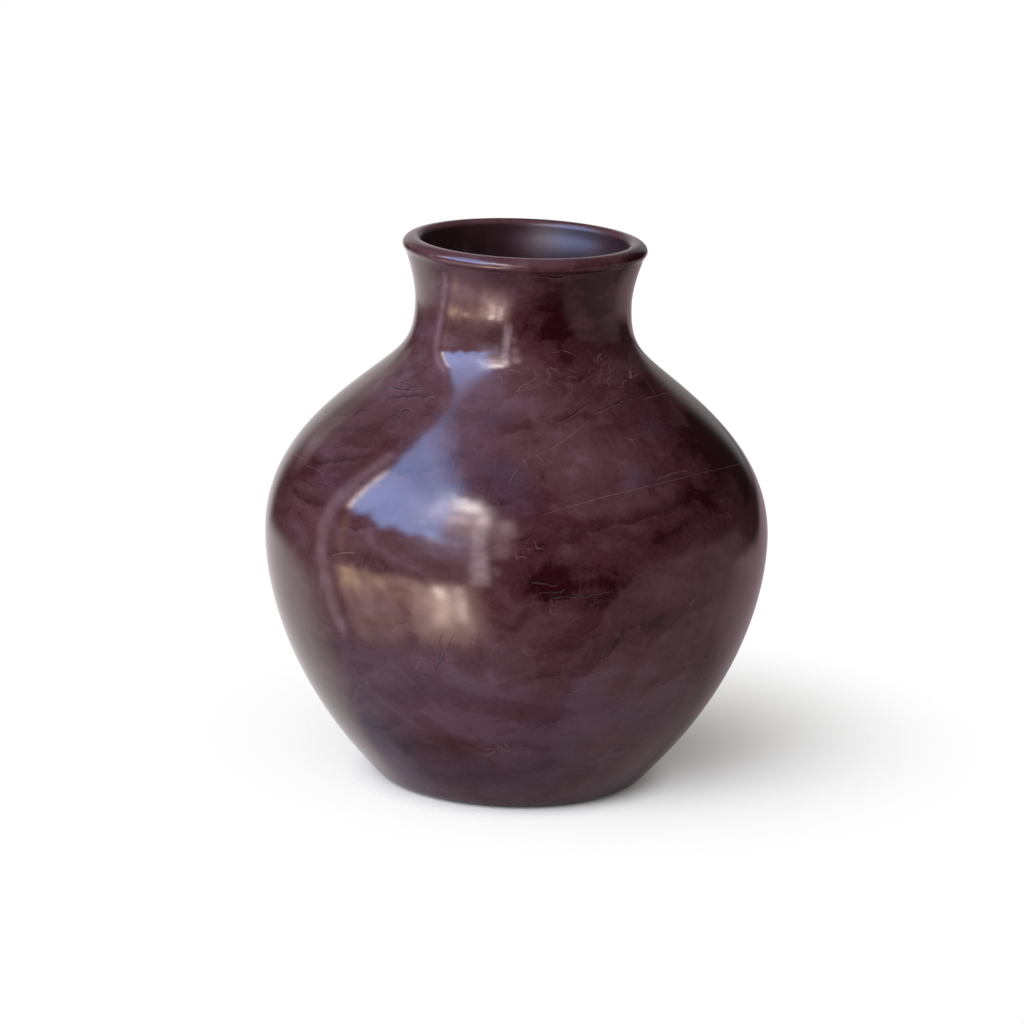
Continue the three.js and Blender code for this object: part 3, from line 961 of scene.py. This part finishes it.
def look_around(graph):
    """Where a ray goes: its direction and the X of that, its degrees round from the viewer and above level,
    and its degrees round along the leaning bars."""
    direction = graph.node("ShaderNodeTexCoord").outputs["Generated"]
    x, y, z = graph.split(direction)
    turn = graph.math("DEGREES", graph.math("ARCTAN2", x, graph.times(y, -1.0)))
    level = graph.math("DEGREES", graph.math("ARCSINE", z))
    above = graph.most(graph.minus(level, CROSS_BAR), 0.0)
    lean = graph.plus(above, graph.times(level, BAR_LEAN))
    return Around(direction, x, turn, level, graph.plus(turn, lean))


def pane_mask(graph, tree, around, pane, level, cloudy=1.0):
    """Mask of one pane, on the given level so that an edge can run unevenly."""
    inputs = {
        "Direction": around.direction, "Round": around.leaned, "Level": level,
        "Round From": pane.span[0], "Round To": pane.span[1], "Low": pane.level[0], "High": pane.level[1],
        "Soft": pane.soft, "Ragged": pane.ragged, "Cloudy": cloudy,
    }
    return graph.group(tree, inputs)["Mask"]


def card_light(graph, tree, around):
    """Dim light from pale cards behind, below, on both sides and overhead."""
    turn, level = around.turn, around.level

    # Behind: a low card on the left, a taller one round the back, and its rim on the right.
    edge = graph.plus(turn, graph.ease(level, -19.0, -12.0, 0.0, 18.0))
    lower = graph.times(graph.ease(edge, -86.0, -128.0), graph.ease(level, -8.5, -14.0))
    rim = graph.times(graph.ease(turn, 150.0, 162.0, 0.0, 0.5), graph.ease(level, -5.0, -1.0))
    rim = graph.most(rim, graph.ease(turn, 164.0, 179.0))
    upper = graph.most(graph.ease(turn, -146.0, -160.0), rim)
    far = graph.times(
        graph.ease(level, 36.0, 14.0),
        graph.ease(level, -56.0, -34.0),
        graph.most(lower, upper),
        graph.ease(level, 4.0, -20.0, 0.7, 0.97))
    lip_card = graph.times(pane_mask(graph, tree, around, LIP_CARD, level), LIP_CARD.light)
    cards = graph.scaled(CARD_COLOUR, graph.plus(graph.most(far, lip_card), DIM_LIGHT))

    # On the right: a low card, and a dim one with a slanting edge.
    lifted = graph.minus(level, graph.ease(turn, 142.0, 154.0, 0.0, 5.0))
    near = graph.times(
        graph.ease(lifted, -7.0, -13.0),
        graph.ease(level, -40.0, -22.0),
        graph.ease(turn, 98.0, 124.0, 0.0, 0.48))
    slant = graph.minus(turn, graph.ease(level, -22.0, 8.0, 0.0, 16.0))
    veil = graph.times(
        graph.ease(slant, 41.0, 49.0),
        graph.ease(turn, 134.0, 106.0),
        graph.ease(level, 5.5, -1.0),
        graph.ease(level, -82.0, -66.0, 0.0, 0.36))

    # Below, brighter on the left and behind, and a little light overhead and on the left.
    side = graph.vector_math("DOT_PRODUCT", around.direction, (-0.25, 0.14, 0.0), output="Value")
    below = graph.times(
        graph.ease(level, -22.0, -44.0),
        graph.ease(level, -72.0, -46.0, 0.25, 1.0),
        graph.plus(side, 0.36))
    overhead = graph.ease(level, 45.0, 75.0, 0.0, 0.16)
    left = graph.times(pane_mask(graph, tree, around, LEFT_CARD, level), LEFT_CARD.light)
    tint = graph.mix(graph.ease(around.x, -0.3, 0.5), COOL_TINT, WARM_TINT)
    soft = graph.scaled(tint, graph.most(below, near, veil, graph.plus(overhead, left)))
    return graph.vector_math("MAXIMUM", cards, soft)


def blue_light(graph, tree, around):
    """The blue pane, from an uneven lower edge to a bowed upper one."""
    turn, level = around.turn, around.level
    bow = graph.times(graph.math("POWER", graph.plus(turn, 85.0), 2.0), 0.004)
    height = graph.plus(level, bow)
    arch = graph.plus(graph.ease(height, 72.0, 59.0, 0.0, 0.92), graph.ease(height, 92.0, 64.0, 0.0, 0.08))
    high_end = graph.times(graph.ease(around.leaned, *BLUE_FADE), graph.ease(level, 44.0, 54.0))
    ends = graph.most(high_end, graph.ease(turn, *BLUE_END))
    along = graph.node("ShaderNodeCombineXYZ", {0: graph.times(turn, 0.07)}).outputs[0]
    uneven = graph.minus(graph.noise(along, 1.0, 4.0, 0.55), 0.5)
    torn = graph.plus(level, graph.times(uneven, 24.0))
    mask = pane_mask(graph, tree, around, BLUE_PANE, torn, BLUE_CLOUDS)
    dimmed = graph.ease(level, 40.0, 56.0, 1.0, 0.7)
    return graph.scaled(BLUE_PANE.light, graph.times(mask, arch, dimmed, ends))


def set_world(stage):
    """Soft light from all round, a white background to the camera and the softbox to reflections."""
    world = bpy.data.worlds.new("Studio")
    world.use_nodes = True
    world.node_tree.nodes.clear()
    graph = Graph(world.node_tree)
    around = look_around(graph)
    tree = pane_group()
    lights = [card_light(graph, tree, around), blue_light(graph, tree, around)]
    for pane in PANES:
        lights.append(graph.scaled(pane.light, pane_mask(graph, tree, around, pane, around.level)))
    mirrored = reduce(lambda first, second: graph.vector_math("ADD", first, second), lights)

    ray = graph.node("ShaderNodeLightPath").outputs
    fill = tuple(stage.fill_strength * c for c in stage.fill_colour)
    plain = graph.mix(ray["Is Camera Ray"], fill, WHITE)
    glossy = graph.most(ray["Is Glossy Ray"], ray["Is Transmission Ray"])
    colour = graph.mix(glossy, plain, mirrored)
    shader = graph.node("ShaderNodeBackground", {"Color": colour, "Strength": 1.0}).outputs[0]
    output = graph.node("ShaderNodeOutputWorld")
    graph.tree.links.new(shader, output.inputs["Surface"])
    bpy.context.scene.world = world


# Stage.

def add_key(stage):
    """A large soft lamp from the softbox's side, which lights the stone but doesn't show in the polish."""
    level = math.cos(stage.key_elevation)
    outwards = Vector((math.sin(stage.key_azimuth) * level, -math.cos(stage.key_azimuth) * level,
                       math.sin(stage.key_elevation)))
    data = bpy.data.lights.new("key_softbox", "AREA")
    data.shape = "RECTANGLE"
    data.size, data.size_y = stage.key_size
    data.color = stage.key_colour
    data.energy = stage.key_strength * data.size * data.size_y * math.pi
    lamp = bpy.data.objects.new("key_softbox", data)
    bpy.context.collection.objects.link(lamp)
    lamp.location = Vector(stage.look_at) + outwards * stage.key_distance
    lamp.rotation_mode = "QUATERNION"
    lamp.rotation_quaternion = outwards.to_track_quat("Z", "Y")
    lamp.visible_camera = False
    lamp.visible_glossy = False


def add_camera(stage):
    """A camera at the photograph's angle, distance and framing."""
    sight = Vector((0, math.cos(stage.camera_elevation), -math.sin(stage.camera_elevation)))
    data = bpy.data.cameras.new("photo_view")
    data.lens = stage.camera_lens
    camera = bpy.data.objects.new("photo_view", data)
    bpy.context.collection.objects.link(camera)
    camera.rotation_mode = "QUATERNION"
    level = sight.to_track_quat("-Z", "Y")
    camera.rotation_quaternion = level @ Matrix.Rotation(stage.camera_roll, 3, "Z").to_quaternion()
    camera.location = Vector(stage.look_at) - sight * stage.camera_distance
    bpy.context.scene.camera = camera


def new_piece(name, bm, material):
    """An object at the origin with the bmesh as its smooth-shaded mesh."""
    mesh = bpy.data.meshes.new(name)
    bm.to_mesh(mesh)
    bm.free()
    mesh.shade_smooth()
    mesh.materials.append(material)
    piece = bpy.data.objects.new(name, mesh)
    bpy.context.collection.objects.link(piece)
    return piece


class VASE_OT_stone_body(bpy.types.Operator):
    """Turn the stone body, finish it by hand and give it its marks and polish"""

    bl_idname = "vase.stone_body"
    bl_label = "Stone Body"

    def execute(self, context):
        sizes = context.scene.vase_sizes
        section = stone_section()
        bm = turn_section(section, sizes.steps_round)
        finish_by_hand(bm, sizes)
        body = new_piece("stone_body", bm, stone_material(context.scene.stone_finish))
        for name, marks, reach in MARK_SHEETS:
            draw_marks(body.data, name, marks, section, reach)
        paint_patches(body.data, "tone", TONE_PATCHES)
        paint_patches(body.data, "violet", VIOLET_PATCHES)
        paint_patches(body.data, "scuffs", SCUFF_PATCHES)
        paint_inside(body.data, section)
        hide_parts("vase_body")
        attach(body, "root")
        return {"FINISHED"}


class VASE_OT_base_felt(bpy.types.Operator):
    """Cut the felt disc that is glued under the foot"""

    bl_idname = "vase.base_felt"
    bl_label = "Base Felt"

    def execute(self, context):
        sizes = context.scene.vase_sizes
        bm = bmesh.new()
        rim = bmesh.ops.create_circle(bm, cap_ends=True, segments=FELT_STEPS, radius=sizes.felt_radius)
        bmesh.ops.translate(bm, verts=rim["verts"], vec=(0, 0, FELT_LOW.z))
        raised = bmesh.ops.extrude_face_region(bm, geom=list(bm.faces))
        top = [g for g in raised["geom"] if isinstance(g, bmesh.types.BMVert)]
        bmesh.ops.translate(bm, verts=top, vec=(0, 0, sizes.felt_thickness))
        bmesh.ops.recalc_face_normals(bm, faces=bm.faces)
        corners = [e for e in bm.edges if e.calc_face_angle(0) > SHARP_EDGE]
        bmesh.ops.bevel(bm, geom=corners, offset=sizes.felt_thickness * FELT_EDGE, affect="EDGES",
                        segments=FELT_EDGE_STEPS, profile=0.5, material=-1)
        felt = new_piece("felt_disc", bm, felt_material(context.scene.stone_finish))
        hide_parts("base_felt")
        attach(felt, "root")
        return {"FINISHED"}


class VASE_OT_stage(bpy.types.Operator):
    """Set the floor, the lamps, the world and the camera"""

    bl_idname = "vase.stage"
    bl_label = "Stage"

    def execute(self, context):
        stage = context.scene.vase_stage
        bm = bmesh.new()
        bmesh.ops.create_circle(bm, cap_ends=True, segments=FLOOR_STEPS, radius=stage.floor_radius)
        bmesh.ops.translate(bm, verts=bm.verts, vec=(0, 0, FELT_LOW.z - FLOOR_GAP))
        new_piece("floor", bm, floor_material(stage, context.scene.vase_sizes))
        set_world(stage)
        add_key(stage)
        add_camera(stage)
        context.scene.view_settings.view_transform = "Standard"
        return {"FINISHED"}


class VASE_PT_sidebar(bpy.types.Panel):
    """Sizes, finish and stage of the vase"""

    bl_idname = "VASE_PT_sidebar"
    bl_label = "Globe Vase"
    bl_space_type = "VIEW_3D"
    bl_region_type = "UI"
    bl_category = "Globe Vase"

    def draw(self, context):
        layout = self.layout
        scene = context.scene
        for label, group in (("Sizes", scene.vase_sizes), ("Finish", scene.stone_finish),
                             ("Stage", scene.vase_stage)):
            box = layout.box()
            box.label(text=label)
            for key in group.__annotations__:
                box.prop(group, key)
        for operator in (VASE_OT_stone_body, VASE_OT_base_felt, VASE_OT_stage):
            layout.operator(operator.bl_idname)


CLASSES = (VaseSizes, StoneFinish, StageSettings, VASE_OT_stone_body, VASE_OT_base_felt, VASE_OT_stage,
           VASE_PT_sidebar)


def register():
    for made in CLASSES:
        bpy.utils.register_class(made)
    bpy.types.Scene.vase_sizes = bpy.props.PointerProperty(type=VaseSizes)
    bpy.types.Scene.stone_finish = bpy.props.PointerProperty(type=StoneFinish)
    bpy.types.Scene.vase_stage = bpy.props.PointerProperty(type=StageSettings)


def unregister():
    del bpy.types.Scene.vase_sizes, bpy.types.Scene.stone_finish, bpy.types.Scene.vase_stage
    for made in reversed(CLASSES):
        bpy.utils.unregister_class(made)


def main():
    register()
    bpy.ops.vase.stage()
    bpy.ops.vase.stone_body()
    bpy.ops.vase.base_felt()


if __name__ == "__main__":
    main()
